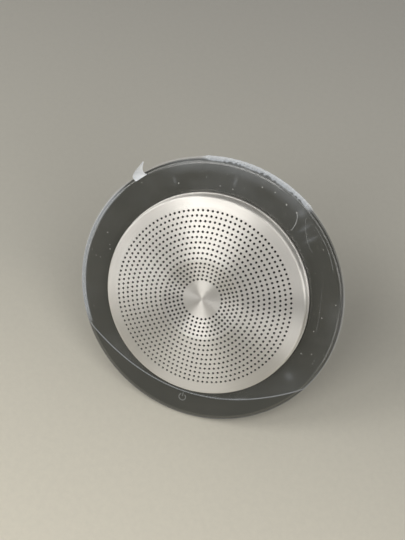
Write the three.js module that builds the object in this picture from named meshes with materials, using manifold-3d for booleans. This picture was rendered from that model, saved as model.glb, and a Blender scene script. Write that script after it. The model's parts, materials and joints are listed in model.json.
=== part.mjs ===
// Conference speakerphone: a round desk loudspeaker and microphone with a perforated aluminium
// cap, a glossy touch ring still under its delivery film, a cable groove round the waist and a
// fold-out stand that leans the face back. Millimetres.
//
// Device frame: +Z out of the face along the disc's axis, +Y up the face, +X to the right,
// z = 0 at the underside of the rubber base. The device group then leans back on its stand, and
// the whole part stands on z = 0, centred on its own outline.

import * as THREE from 'three';
import { mergeVertices } from 'three/addons/utils/BufferGeometryUtils.js';
import Module from 'manifold-3d';

const wasm = await Module();
wasm.setup();

// ---------------------------------------------------------------- driving dimensions

const FACE_ANGLE = THREE.MathUtils.degToRad(52); // face's slope to the table, stand open
const GAP = 0.3; // clearance between neighbouring pieces
const CHAMFER = 0.4; // flat on an outer edge or round a screw's point
const SUNK = 0.4; // how far a joined piece starts inside the wall that it stands on
const OVERRUN = 1; // how far a cutting solid runs past the face that it cuts
const FINE = 48; // segments round the large turned pieces that show
const COARSE = 32; // segments round the large ones inside
const SMALL = 20; // segments round the small ones
const BOSS = 16; // segments round bosses, posts, counterbores and the gland
const TINY = 8; // segments round screws and pins
const CORNER_STEPS = 5; // steps round each corner of a plate
const OUTLINE_STEPS = 24; // steps round a plate's long arcs

const CAP = {
  radius: 49.65, wall: 0.8, edgeRound: 1.2, skirtBottom: 22.2,
  centreRadius: 9.2, centreHeight: 33.85, crestRadius: 19.6, crestHeight: 35, domeCurve: 232.5,
};
const CLOTH = { radius: 48.2, thickness: 0.3 };

const RING = { inner: 50.6, outer: 66, top: 24.3, bottom: 22.1, bevelWidth: 2.2, bevelDrop: 1.1 };
const RING_POCKET = { inner: 51.5, outer: 58.7, floor: 19.2 };
const RING_STACK = { inner: 51.8, outer: 58.4 };
const TOUCH_SHEET = { bottom: 21.55, top: 21.75 };
const LIGHT_GUIDE = { bottom: 20.6, top: 21.25 };
const LED_BOARD = { bottom: 19.5, top: 20.3 };

const RIM = { radius: 66, seat: 21.8, round: 1.2, bottom: 19.35 };
const TUBE = { inner: 46.9, outer: 48.5, top: 28.5 };
const LEDGE = { inner: 45.4, bottom: 24.2, top: 25.6 };
const FLANGE = { inner: 41.2, outer: 44.2, bottom: 15.4, top: 17.4 };
const EAR = { radius: 3.5, inset: 37, overlap: 1.5 };

const WAIST = { radius: 43, wall: 1.8, top: 15.1, bottom: 6.9, floor: 1.2 };
const BASE = { radius: 48.5, wall: 1.6, bottom: 0.5, top: 6.6, floorBottom: 1.5, floor: 1.4, round: 0.4 };
const BASE_LIP = { inner: 42, thickness: 1.2 };
const PAD = { radius: 46.6, thickness: 1.2 };

const STAND = {
  pivotY: 20, pivotZ: 3.1, halfWidth: 23, arm: 6, thickness: 3.4, metalEnd: 59, length: 61,
  corner: 5, innerCorner: 2, eyeRadius: 1.9, heelLength: 2.3, heelHalf: 0.8,
  pinRadius: 0.9, pinHole: 1.2, pinWall: 0.4, pinPlay: 0.1,
};
const CHANNEL = { side: 0.4, wall: 1.2, ceiling: 5.8, endY: -42, headY: 23.6, padMargin: 0.5 };
const STAND_FOOT = { halfLength: 17, halfThickness: 1.6 };
const FINGER_NOTCH = { halfWidth: 9, inner: 40.5, top: 4.6 };

const HOUSING_SCREW = {
  circle: 37, angles: [60, 120, 195, 345], shank: 1.1, head: 2.2, headBottom: 2, headTop: 3.3,
  tip: 17.2, hole: 1.45, counterbore: 2.55, counterboreTop: 3.6, column: 3.4, boss: 3,
};

const BAFFLE = { outer: 46.5, inner: 24.5, bottom: 26.3, top: 28.3 };
const ENCLOSURE = { inner: 25.2, outer: 26.6, bottom: 13, floor: 1.2, top: 26 };
const BASKET = {
  flangeOuter: 31, flangeBottom: 29.2, flangeTop: 30, mouth: 24.2, foot: 17.5, footInner: 10.5,
  footBottom: 21.6, footTop: 22.6, wall: 1.3, windowWidth: 13, windowBottom: 23.6, windowTop: 27.2,
};
const SPEAKER_SEAT = BASKET.flangeTop + GAP;
const GASKET = { inner: 24.8, bottom: 28.6, top: 28.9 };
const MOTOR = {
  radius: 16, plateBottom: 14.5, plateTop: 16.3, poleRadius: 7.1, poleTop: 21.3, magnetInner: 9.6,
  magnetBottom: 16.6, magnetTop: 19.2, topPlateInner: 8.5, topPlateBottom: 19.5, topPlateTop: 21.3,
};
const VOICE_COIL = { inner: 7.45, outer: 8.1, bottom: 17.6, top: 24.9 };
const CONE = { neck: 8.4, neckHeight: 25.3, rim: 20.2, rimHeight: 30.3, thickness: 0.5 };
const DUST_CAP = { radius: 8, bottom: 26.5, rise: 1.9, thickness: 0.5 };
const SURROUND = { inner: 20.6, rollOuter: 25, skirtOuter: 26.2, bottom: 30.3, thickness: 0.4 };
const SPIDER = { inner: 8.5, outer: 14, bottom: 22.95, ripple: 0.5, ripples: 3, thickness: 0.3 };
const SPEAKER_SCREW = {
  circle: 28.6, count: 4, shank: 1, head: 1.8, headHeight: 1.1, tip: 26.7, hole: 1.35,
};

const MICROPHONE = {
  ringRadius: 36, boot: 4.2, bootWall: 1, bottom: 28.6, floor: 0.3, top: 30.2, capsule: 2.85,
};

const BATTERY = { width: 52, height: 25.5, thickness: 3.6, centreY: 14.3, bottom: 9.1, corner: 1.5 };
const BATTERY_FOAM = { margin: 4, bottom: 8.4, thickness: 0.4 };
const BOARD = { radius: 39.6, topY: -1.5, bottom: 9.4, thickness: 1.2, notch: 3.8 };
const BOARD_SCREW = {
  places: [[-24, -5.5], [24, -5.5], [0, -35]], shank: 0.9, head: 1.7, headHeight: 1, tip: 8.7,
  hole: 1.25, post: 2.4,
};
const GLAND = {
  angle: 20, height: 11.2, bore: 1.7, body: 2.6, hole: 2.95, flange: 3.6, flangeThickness: 1.3,
  depth: 5,
};

const FILM = {
  shiftX: 0.7, shiftY: 0.8, outer: 66.5, inner: 51, bottom: 24.6, thickness: 0.2,
  leftEnd: 213, rightEnd: 333, bottomY: -53.8,
};
const TAB = {
  angle: 130, width: 7, root: 60.5, bend: 66, curlRadius: 9, curlAngle: 60, thickness: 0.3,
  bottom: 25.1,
};

// ---------------------------------------------------------------- materials

function finish(color, roughness, metalness = 0, extra = {}) {
  return new THREE.MeshStandardMaterial({ color, roughness, metalness, ...extra });
}

const FINISHES = {
  brushedAluminium: finish(0xc9c6c0, 0.36, 1),
  satinAluminium: finish(0x9b9c9e, 0.42, 1),
  glossBlack: finish(0x23231f, 0.12),
  matteBlack: finish(0x1c1c1d, 0.6),
  midGreyPlastic: finish(0x46474a, 0.55),
  rubber: finish(0x161617, 0.85),
  cloth: finish(0x101011, 0.95),
  foam: finish(0x2b2b2d, 0.95),
  clearGuide: finish(0xe8ece8, 0.3, 0, { transparent: true, opacity: 0.6 }),
  board: finish(0x1f4a33, 0.5),
  flexBoard: finish(0x8a5a1c, 0.5),
  steel: finish(0x9a9a9c, 0.35, 1),
  zincSteel: finish(0x8b8c90, 0.4, 1),
  ferrite: finish(0x37373a, 0.7),
  copper: finish(0xb56a3a, 0.35, 1),
  paper: finish(0x2a2826, 0.9),
  chip: finish(0x191919, 0.45),
  cell: finish(0xa9acb0, 0.4, 0.6),
  film: finish(0xdfe6ea, 0.12, 0, { transparent: true, opacity: 0.3 }),
  palePlastic: finish(0xd9dde2, 0.4),
};

// ---------------------------------------------------------------- shape helpers

// Keeps only positions, joins shared corners, drops triangles of no area and faces the rest out.
function closedGeometry(geometry) {
  const bare = geometry.index ? geometry : geometry.clone();
  for (const attribute of ['normal', 'uv']) {
    bare.deleteAttribute(attribute);
  }
  const merged = mergeVertices(bare, 1e-4);
  const corners = [];
  for (let i = 0; i < merged.index.count; i += 3) {
    const [a, b, c] = [0, 1, 2].map((k) => merged.index.getX(i + k));
    if (a !== b && b !== c && c !== a) {
      corners.push(a, b, c);
    }
  }
  if (signedVolume(merged.attributes.position, corners) < 0) {
    corners.reverse();
  }
  merged.setIndex(corners);
  return merged;
}

function signedVolume(position, corners) {
  const point = [0, 1, 2].map(() => new THREE.Vector3());
  let sum = 0;
  for (let i = 0; i < corners.length; i += 3) {
    point.forEach((p, k) => p.fromBufferAttribute(position, corners[i + k]));
    sum += point[0].dot(point[1].cross(point[2]));
  }
  return sum / 6;
}

// Turns a profile of [radius, height] pairs about +Z; a profile off the axis closes on itself.
function turned(profile, segments = FINE) {
  const loop = profile[0][0] > 0 ? [...profile, profile[0]] : profile;
  const points = loop.map(([radius, height]) => new THREE.Vector2(radius, height));
  const geometry = new THREE.LatheGeometry(points, segments);
  // Half a step of turn puts a flat, not a corner, at the lowest point of the rim.
  geometry.rotateY(Math.PI / segments);
  geometry.rotateX(Math.PI / 2);
  return closedGeometry(geometry);
}

function turnedRing(inner, outer, bottom, top, segments = FINE) {
  return turned([[inner, bottom], [outer, bottom], [outer, top], [inner, top]], segments);
}

function turnedRod(radius, bottom, top, segments = SMALL) {
  return turned([[0, bottom], [radius, bottom], [radius, top], [0, top]], segments);
}

// Extrudes a flat shape upwards from the given height.
function plate(shape, bottom, thickness, curveSegments = 8) {
  const settings = { depth: thickness, bevelEnabled: false, curveSegments };
  const geometry = new THREE.ExtrudeGeometry(shape, settings);
  geometry.translate(0, 0, bottom);
  return closedGeometry(geometry);
}

function block(x0, x1, y0, y1, z0, z1) {
  const geometry = new THREE.BoxGeometry(x1 - x0, y1 - y0, z1 - z0);
  geometry.translate((x0 + x1) / 2, (y0 + y1) / 2, (z0 + z1) / 2);
  return closedGeometry(geometry);
}

function roundedRectangle(halfX, halfY, radius) {
  const shape = new THREE.Shape();
  const [cx, cy] = [halfX - radius, halfY - radius];
  shape.absarc(cx, cy, radius, 0, Math.PI / 2);
  shape.absarc(-cx, cy, radius, Math.PI / 2, Math.PI);
  shape.absarc(-cx, -cy, radius, Math.PI, 1.5 * Math.PI);
  shape.absarc(cx, -cy, radius, 1.5 * Math.PI, 2 * Math.PI);
  shape.closePath();
  return shape;
}

function moved(geometry, x, y, z = 0) {
  return geometry.clone().translate(x, y, z);
}

// A rod along X through the given point.
function crossRod(radius, x0, x1, y, z, segments = TINY) {
  return turnedRod(radius, x0, x1, segments).rotateY(Math.PI / 2).translate(0, y, z);
}

function polar(radius, degrees) {
  const angle = THREE.MathUtils.degToRad(degrees);
  return [radius * Math.cos(angle), radius * Math.sin(angle)];
}

function arcPoints(centre, radius, fromDegrees, toDegrees, steps) {
  return Array.from({ length: steps + 1 }, (_, i) => {
    const [x, y] = polar(radius, fromDegrees + ((toDegrees - fromDegrees) * i) / steps);
    return [centre[0] + x, centre[1] + y];
  });
}

// ---------------------------------------------------------------- booleans

function toSolid(geometry) {
  const clean = closedGeometry(geometry);
  return new wasm.Manifold(new wasm.Mesh({
    numProp: 3,
    vertProperties: new Float32Array(clean.attributes.position.array),
    triVerts: new Uint32Array(clean.index.array),
  }));
}

function toGeometry(solid) {
  const mesh = solid.getMesh();
  const geometry = new THREE.BufferGeometry();
  geometry.setAttribute('position', new THREE.BufferAttribute(new Float32Array(mesh.vertProperties), 3));
  geometry.setIndex(Array.from(mesh.triVerts));
  return geometry;
}

// Joins every geometry in adds to the base, then cuts every geometry in cuts from it.
function shaped(base, { adds = [], cuts = [] }) {
  let solid = toSolid(base);
  for (const piece of adds) {
    solid = solid.add(toSolid(piece));
  }
  for (const piece of cuts) {
    solid = solid.subtract(toSolid(piece));
  }
  return toGeometry(solid);
}

// ---------------------------------------------------------------- scene graph

const speakerphone = new THREE.Group();
const device = new THREE.Group();
device.rotation.x = FACE_ANGLE;
speakerphone.add(device);

function addPart(name, geometry, material, parent = device) {
  const mesh = new THREE.Mesh(geometry, material);
  mesh.name = name;
  parent.add(mesh);
  return mesh;
}

// ---------------------------------------------------------------- aluminium cap and cloth

function domeHeight(radius) {
  return CAP.crestHeight + (CAP.crestRadius ** 2 - radius ** 2) / (2 * CAP.domeCurve);
}

// Flat dished centre, shallow cone up to the crest, then the dome out to the given radius.
function capProfile(outerRadius, drop, steps = 4) {
  const profile = [[0, CAP.centreHeight], [CAP.centreRadius, CAP.centreHeight]];
  for (let i = 0; i <= steps; i += 1) {
    const radius = CAP.crestRadius + ((outerRadius - CAP.crestRadius) * i) / steps;
    profile.push([radius, domeHeight(radius)]);
  }
  return profile.map(([radius, height]) => [radius, height - drop]);
}

function buildCap() {
  const roundCentre = CAP.radius - CAP.edgeRound;
  const roundHeight = domeHeight(roundCentre) - CAP.edgeRound;
  const innerRadius = CAP.radius - CAP.wall;
  const outside = [
    ...capProfile(roundCentre, 0),
    ...arcPoints([roundCentre, roundHeight], CAP.edgeRound, 60, 0, 2),
    [CAP.radius, CAP.skirtBottom],
  ];
  const under = capProfile(innerRadius, CAP.wall + GAP).reverse();
  const inside = [[innerRadius, CAP.skirtBottom], ...under];
  addPart('grille_cap', turned([...outside, ...inside]), FINISHES.brushedAluminium);

  const clothDrop = CAP.wall + 2 * GAP;
  const clothTop = capProfile(CLOTH.radius, clothDrop, 2);
  const clothUnder = capProfile(CLOTH.radius, clothDrop + CLOTH.thickness, 2).reverse();
  addPart('grille_cloth', turned([...clothTop, ...clothUnder], COARSE), FINISHES.cloth);
}

// ---------------------------------------------------------------- touch ring and its circuits

function buildRing() {
  const bevelRadius = RING.outer - RING.bevelWidth;
  const bevelBottom = RING.top - RING.bevelDrop;
  const profile = [
    [RING.inner, RING.bottom], [RING.outer - CHAMFER, RING.bottom], [RING.outer, RING.bottom + CHAMFER],
    [RING.outer, bevelBottom], [bevelRadius, RING.top], [RING.inner + CHAMFER, RING.top],
    [RING.inner, RING.top - CHAMFER],
  ];
  addPart('touch_ring', turned(profile), FINISHES.glossBlack);

  const stack = [
    ['touch_sensor_sheet', TOUCH_SHEET, FINISHES.flexBoard],
    ['light_guide_ring', LIGHT_GUIDE, FINISHES.clearGuide],
    ['led_board', LED_BOARD, FINISHES.board],
  ];
  for (const [name, { bottom, top }, material] of stack) {
    addPart(name, turnedRing(RING_STACK.inner, RING_STACK.outer, bottom, top, COARSE), material);
  }
}

// ---------------------------------------------------------------- housings

function screwPlaces() {
  return HOUSING_SCREW.angles.map((angle) => polar(HOUSING_SCREW.circle, angle));
}

function screwHoles(bottom, top) {
  const hole = turnedRod(HOUSING_SCREW.hole, bottom, top, TINY);
  return screwPlaces().map(([x, y]) => moved(hole, x, y));
}

function rimRound() {
  return arcPoints([RIM.radius - RIM.round, RIM.bottom + RIM.round], RIM.round, 280, 360, 3);
}

function buildUpperHousing() {
  const profile = [
    [FLANGE.inner, FLANGE.bottom], [FLANGE.outer, FLANGE.bottom],
    ...rimRound(),
    [RIM.radius, RIM.seat], [RING_POCKET.outer, RIM.seat], [RING_POCKET.outer, RING_POCKET.floor],
    [RING_POCKET.inner, RING_POCKET.floor], [RING_POCKET.inner, RIM.seat], [TUBE.outer, RIM.seat],
    [TUBE.outer, TUBE.top], [TUBE.inner, TUBE.top], [TUBE.inner, LEDGE.top], [LEDGE.inner, LEDGE.top],
    [LEDGE.inner, LEDGE.bottom], [TUBE.inner, LEDGE.bottom], [TUBE.inner, FLANGE.top],
    [FLANGE.inner, FLANGE.top],
  ];
  const ear = plate(earShape(), FLANGE.bottom, FLANGE.top - FLANGE.bottom);
  const ears = HOUSING_SCREW.angles.map((angle) => ear.clone().rotateZ(THREE.MathUtils.degToRad(angle)));
  const cuts = screwHoles(FLANGE.bottom - OVERRUN, FLANGE.top + OVERRUN);
  addPart('upper_housing', shaped(turned(profile), { adds: ears, cuts }), FINISHES.matteBlack);
}

// A tab that reaches in from the flange to a screw, round at its end.
function earShape() {
  const shape = new THREE.Shape();
  const root = FLANGE.inner + EAR.overlap;
  shape.moveTo(root, EAR.radius);
  shape.lineTo(EAR.inset, EAR.radius);
  shape.absarc(EAR.inset, 0, EAR.radius, Math.PI / 2, 1.5 * Math.PI);
  shape.lineTo(root, -EAR.radius);
  shape.closePath();
  return shape;
}

function buildLowerHousing() {
  const innerRadius = WAIST.radius - WAIST.wall;
  const floorTop = WAIST.bottom + WAIST.floor;
  const bowl = turned([
    [0, WAIST.bottom], [WAIST.radius, WAIST.bottom], [WAIST.radius, WAIST.top], [innerRadius, WAIST.top],
    [innerRadius, floorTop], [0, floorTop],
  ]);
  const boss = turnedRod(HOUSING_SCREW.boss, floorTop - SUNK, WAIST.top, BOSS);
  const post = turnedRod(BOARD_SCREW.post, floorTop - SUNK, BOARD.bottom - GAP, BOSS);
  const adds = [
    ...screwPlaces().map(([x, y]) => moved(boss, x, y)),
    ...BOARD_SCREW.places.map(([x, y]) => moved(post, x, y)),
  ];
  const postHole = turnedRod(BOARD_SCREW.hole, floorTop + GAP, BOARD.bottom, TINY);
  const cuts = [
    ...screwHoles(WAIST.bottom - OVERRUN, WAIST.top + OVERRUN),
    ...BOARD_SCREW.places.map(([x, y]) => moved(postHole, x, y)),
    glandPlaced(turnedRod(GLAND.hole, -WAIST.wall - OVERRUN, OVERRUN, BOSS)),
  ];
  addPart('lower_housing', shaped(bowl, { adds, cuts }), FINISHES.matteBlack);
  const flangeTop = GLAND.flangeThickness + GAP;
  const gland = turned([
    [GLAND.bore, -GLAND.depth], [GLAND.body, -GLAND.depth], [GLAND.body, GAP], [GLAND.flange, GAP],
    [GLAND.flange, flangeTop - CHAMFER], [GLAND.flange - CHAMFER, flangeTop], [GLAND.bore, flangeTop],
  ], BOSS);
  addPart('cable_gland', glandPlaced(gland), FINISHES.rubber);
}

// Turns a piece made along +Z to point outwards through the waist wall, its origin on the wall.
function glandPlaced(geometry) {
  const [x, y] = polar(WAIST.radius, GLAND.angle);
  return geometry.rotateY(Math.PI / 2)
    .rotateZ(THREE.MathUtils.degToRad(GLAND.angle))
    .translate(x, y, GLAND.height);
}

// The stand's U, its hinge at pivotY, its legs and crossbar wider by a margin on every side.
function standShape(margin, pivotY, headY, endY) {
  const outer = STAND.halfWidth + margin;
  const inner = STAND.halfWidth - STAND.arm - margin;
  const outerRound = STAND.corner;
  const innerRound = STAND.innerCorner;
  const crossTop = pivotY - STAND.metalEnd + STAND.arm + margin;
  const shape = new THREE.Shape();
  shape.moveTo(outer, headY);
  shape.lineTo(inner, headY);
  shape.lineTo(inner, crossTop + innerRound);
  shape.absarc(inner - innerRound, crossTop + innerRound, innerRound, 0, -Math.PI / 2, true);
  shape.absarc(innerRound - inner, crossTop + innerRound, innerRound, -Math.PI / 2, -Math.PI, true);
  shape.lineTo(-inner, headY);
  shape.lineTo(-outer, headY);
  shape.absarc(outerRound - outer, endY + outerRound, outerRound, Math.PI, 1.5 * Math.PI);
  shape.absarc(outer - outerRound, endY + outerRound, outerRound, 1.5 * Math.PI, 2 * Math.PI);
  shape.closePath();
  return shape;
}

function fingerNotch(halfWidth) {
  const { inner, top } = FINGER_NOTCH;
  return block(-halfWidth, halfWidth, -BASE.radius - OVERRUN, -inner, -OVERRUN, top);
}

function buildBase() {
  const wallInner = BASE.radius - BASE.wall;
  const floorTop = BASE.floorBottom + BASE.floor;
  const pan = turned([
    [0, BASE.floorBottom], [wallInner, BASE.floorBottom], [wallInner, BASE.bottom],
    [BASE.radius - BASE.round, BASE.bottom], [BASE.radius, BASE.bottom + BASE.round],
    [BASE.radius, BASE.top - BASE.round], [BASE.radius - BASE.round, BASE.top], [BASE_LIP.inner, BASE.top],
    [BASE_LIP.inner, BASE.top - BASE_LIP.thickness], [wallInner, BASE.top - BASE_LIP.thickness],
    [wallInner, floorTop], [0, floorTop],
  ]);
  const wide = CHANNEL.side + CHANNEL.wall;
  const trough = plate(
    standShape(wide, STAND.pivotY, CHANNEL.headY + CHANNEL.wall, CHANNEL.endY - CHANNEL.wall),
    BASE.floorBottom, BASE.top - BASE.floorBottom, CORNER_STEPS,
  );
  const column = turnedRod(HOUSING_SCREW.column, BASE.floorBottom + SUNK, BASE.top, BOSS);
  const channelShape = standShape(CHANNEL.side, STAND.pivotY, CHANNEL.headY, CHANNEL.endY);
  const channel = plate(channelShape, -OVERRUN, CHANNEL.ceiling + OVERRUN, CORNER_STEPS);
  const counterbore = turnedRod(HOUSING_SCREW.counterbore, 0, HOUSING_SCREW.counterboreTop, BOSS);
  const reach = wide - STAND.pinWall;
  const pinReach = [STAND.halfWidth - STAND.arm - reach, STAND.halfWidth + reach];
  const pinHole = crossRod(STAND.pinHole, ...pinReach, STAND.pivotY, STAND.pivotZ);
  const cover = shaped(pan, {
    adds: [trough, ...screwPlaces().map(([x, y]) => moved(column, x, y))],
    cuts: [
      channel,
      ...screwPlaces().map(([x, y]) => moved(counterbore, x, y)),
      ...screwHoles(BASE.bottom, BASE.top + OVERRUN),
      pinHole, pinHole.clone().rotateY(Math.PI).translate(0, 0, 2 * STAND.pivotZ),
      fingerNotch(FINGER_NOTCH.halfWidth),
    ],
  });
  addPart('base_cover', cover, FINISHES.matteBlack);

  const { headY, endY, padMargin } = CHANNEL;
  const padShape = standShape(2 * CHANNEL.side, STAND.pivotY, headY + padMargin, endY - padMargin);
  const padCut = plate(padShape, -OVERRUN, PAD.thickness + 2 * OVERRUN, CORNER_STEPS);
  // The pad stops short of the narrow strip between the channel and its own rim.
  const cuts = [padCut, fingerNotch(STAND.halfWidth)];
  const pad = shaped(turnedRod(PAD.radius, 0, PAD.thickness, FINE), { cuts });
  addPart('base_pad', pad, FINISHES.rubber);
}

// Adds one screw at each place: the head from headEnd to the seat, the shank on to the tip.
function addScrews(name, { shank, head, tip }, headEnd, seat, places) {
  const shoulder = tip + Math.sign(seat - tip) * CHAMFER;
  const profile = [
    [0, headEnd], [head, headEnd], [head, seat], [shank, seat], [shank, shoulder], [0, tip],
  ];
  places.forEach(([x, y], i) => {
    addPart(`${name}_${i + 1}`, turned(profile, TINY), FINISHES.zincSteel).position.set(x, y, 0);
  });
}

// ---------------------------------------------------------------- loudspeaker

function speakerScrewPlaces() {
  const step = 360 / SPEAKER_SCREW.count;
  const angles = Array.from({ length: SPEAKER_SCREW.count }, (_, i) => step * (i + 0.5));
  return angles.map((angle) => polar(SPEAKER_SCREW.circle, angle));
}

function buildBaffle() {
  const holes = speakerScrewPlaces().map(([x, y]) => (
    moved(turnedRod(SPEAKER_SCREW.hole, BAFFLE.bottom - OVERRUN, BASKET.flangeTop + OVERRUN, TINY), x, y)
  ));
  const disc = turnedRing(BAFFLE.inner, BAFFLE.outer, BAFFLE.bottom, BAFFLE.top, COARSE);
  addPart('speaker_baffle', shaped(disc, { cuts: holes }), FINISHES.midGreyPlastic);

  const gasket = turnedRing(GASKET.inner, BASKET.flangeOuter, GASKET.bottom, GASKET.top, COARSE);
  addPart('speaker_gasket', shaped(gasket, { cuts: holes }), FINISHES.foam);

  const { inner, outer, bottom, floor, top } = ENCLOSURE;
  const cup = [
    [0, bottom], [outer, bottom], [outer, top], [inner, top], [inner, bottom + floor],
    [0, bottom + floor],
  ];
  addPart('speaker_enclosure', turned(cup, COARSE), FINISHES.midGreyPlastic);
  buildBasket(holes);
}

function buildBasket(holes) {
  const b = BASKET;
  const profile = [
    [b.footInner, b.footBottom], [b.foot, b.footBottom], [b.mouth, b.flangeBottom - CHAMFER],
    [b.mouth, b.flangeBottom], [b.flangeOuter, b.flangeBottom], [b.flangeOuter, b.flangeTop],
    [b.mouth - b.wall, b.flangeTop], [b.mouth - b.wall, b.flangeBottom], [b.foot - b.wall, b.footTop],
    [b.footInner, b.footTop],
  ];
  const half = b.windowWidth / 2;
  const slot = block(b.footInner, b.flangeOuter, -half, half, b.windowBottom, b.windowTop);
  const windows = [0, 90, 180, 270].map((angle) => slot.clone().rotateZ(THREE.MathUtils.degToRad(angle)));
  const basket = shaped(turned(profile, COARSE), { cuts: [...windows, ...holes] });
  addPart('speaker_basket', basket, FINISHES.zincSteel);
}

function buildMotor() {
  const m = MOTOR;
  const yoke = [
    [0, m.plateBottom], [m.radius, m.plateBottom], [m.radius, m.plateTop], [m.poleRadius, m.plateTop],
    [m.poleRadius, m.poleTop], [0, m.poleTop],
  ];
  addPart('magnet_yoke', turned(yoke, SMALL), FINISHES.steel);
  const magnet = turnedRing(m.magnetInner, m.radius, m.magnetBottom, m.magnetTop, SMALL);
  addPart('speaker_magnet', magnet, FINISHES.ferrite);
  const topPlate = turnedRing(m.topPlateInner, m.radius, m.topPlateBottom, m.topPlateTop, SMALL);
  addPart('magnet_top_plate', topPlate, FINISHES.steel);
}

function buildMovingCone() {
  const c = CONE;
  const cone = [
    [c.neck, c.neckHeight], [c.rim, c.rimHeight], [c.rim, c.rimHeight + c.thickness],
    [c.neck, c.neckHeight + c.thickness],
  ];
  addPart('speaker_cone', turned(cone, COARSE), FINISHES.paper);
  const { inner, outer, bottom, top } = VOICE_COIL;
  addPart('voice_coil', turnedRing(inner, outer, bottom, top, SMALL), FINISHES.copper);

  const d = DUST_CAP;
  const shell = (drop) => [0, 1, 2, 3].map((i) => {
    const part = i / 3;
    return [d.radius * part, d.bottom + d.rise * (1 - part ** 2) + d.thickness - drop];
  });
  addPart('dust_cap', turned([...shell(0), ...shell(d.thickness).reverse()], SMALL), FINISHES.paper);
}

function buildSuspension() {
  const s = SURROUND;
  const rollCentre = [(s.inner + s.rollOuter) / 2, s.bottom];
  const rollRadius = (s.rollOuter - s.inner) / 2;
  const surround = [
    [s.skirtOuter, s.bottom], [s.skirtOuter, s.bottom + s.thickness],
    ...arcPoints(rollCentre, rollRadius, 15, 180, 4),
    ...arcPoints(rollCentre, rollRadius - s.thickness, 180, 0, 4),
  ];
  addPart('speaker_surround', turned(surround, COARSE), FINISHES.rubber);

  const p = SPIDER;
  const wave = (drop) => Array.from({ length: 2 * p.ripples + 1 }, (_, i) => {
    const radius = p.inner + ((p.outer - p.inner) * i) / (2 * p.ripples);
    return [radius, p.bottom + (i % 2 ? p.ripple : 0) + drop];
  });
  const spider = turned([...wave(0), ...wave(p.thickness).reverse()], SMALL);
  addPart('speaker_spider', spider, FINISHES.flexBoard);
}

function buildMicrophone() {
  const m = MICROPHONE;
  const pocket = m.boot - m.bootWall;
  const boot = [
    [0, m.bottom], [m.boot, m.bottom], [m.boot, m.top], [pocket, m.top], [pocket, m.bottom + m.floor],
    [0, m.bottom + m.floor],
  ];
  const places = [0, m.ringRadius, 0];
  addPart('microphone_boot', turned(boot, SMALL), FINISHES.rubber).position.set(...places);
  const capsule = turnedRod(m.capsule, m.bottom + m.floor + GAP, m.top - GAP);
  addPart('microphone_capsule', capsule, FINISHES.steel).position.set(...places);
}

// ---------------------------------------------------------------- electronics

function buildBattery() {
  const b = BATTERY;
  const outline = roundedRectangle(b.width / 2, b.height / 2, b.corner);
  const cell = plate(outline, b.bottom, b.thickness, CORNER_STEPS);
  addPart('battery_cell', cell, FINISHES.cell).position.y = b.centreY;
  const { margin, bottom, thickness } = BATTERY_FOAM;
  const [halfX, halfY] = [b.width / 2 - margin, b.height / 2 - margin];
  const foam = block(-halfX, halfX, -halfY, halfY, bottom, bottom + thickness);
  addPart('battery_foam', foam, FINISHES.foam).position.y = b.centreY;
}

function buildBoard() {
  const { radius, topY, bottom, thickness } = BOARD;
  const start = Math.asin(-topY / radius);
  const shape = new THREE.Shape();
  shape.absarc(0, 0, radius, Math.PI + start, 2 * Math.PI - start);
  shape.closePath();
  const through = [bottom - OVERRUN, bottom + thickness + OVERRUN];
  const notch = turnedRod(BOARD.notch, ...through, BOSS);
  const hole = turnedRod(BOARD_SCREW.hole, ...through, TINY);
  const cuts = [
    ...screwPlaces().filter(([, y]) => y < 0).map(([x, y]) => moved(notch, x, y)),
    ...BOARD_SCREW.places.map(([x, y]) => moved(hole, x, y)),
  ];
  const board = shaped(plate(shape, bottom, thickness, OUTLINE_STEPS), { cuts });
  addPart('main_board', board, FINISHES.board);

  const top = bottom + thickness + GAP;
  const parts = [
    ['processor_shield', [-7, -19], [19, 14], 1.4, FINISHES.steel],
    ['amplifier_chip', [13, -15], [7, 7], 0.9, FINISHES.chip],
    ['memory_chip', [13, -25], [6, 5], 0.9, FINISHES.chip],
    ['battery_socket', [-14, -5], [7, 4], 1.4, FINISHES.palePlastic],
    ['cable_socket', [-17, -32], [8, 4.5], 1.4, FINISHES.palePlastic],
    ['antenna_chip', [26, -22], [4, 8], 1, FINISHES.palePlastic],
  ];
  for (const [name, [x, y], [width, depth], height, material] of parts) {
    const body = block(-width / 2, width / 2, -depth / 2, depth / 2, top, top + height);
    addPart(name, body, material).position.set(x, y, 0);
  }
  addScrews('board_screw', BOARD_SCREW, top + BOARD_SCREW.headHeight, top, BOARD_SCREW.places);
}

// ---------------------------------------------------------------- fold-out stand

// The lowest flat of the rim's round lower edge sets how high the device stands.
function rimLift() {
  const flat = Math.cos(Math.PI / FINE);
  const drops = rimRound().map(([radius, height]) => (
    radius * flat * Math.sin(FACE_ANGLE) - height * Math.cos(FACE_ANGLE)
  ));
  return Math.max(...drops);
}

function standTilt() {
  const pivotHeight = STAND.pivotY * Math.sin(FACE_ANGLE) + STAND.pivotZ * Math.cos(FACE_ANGLE) + rimLift();
  return Math.acos(pivotHeight / STAND.length);
}

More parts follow.
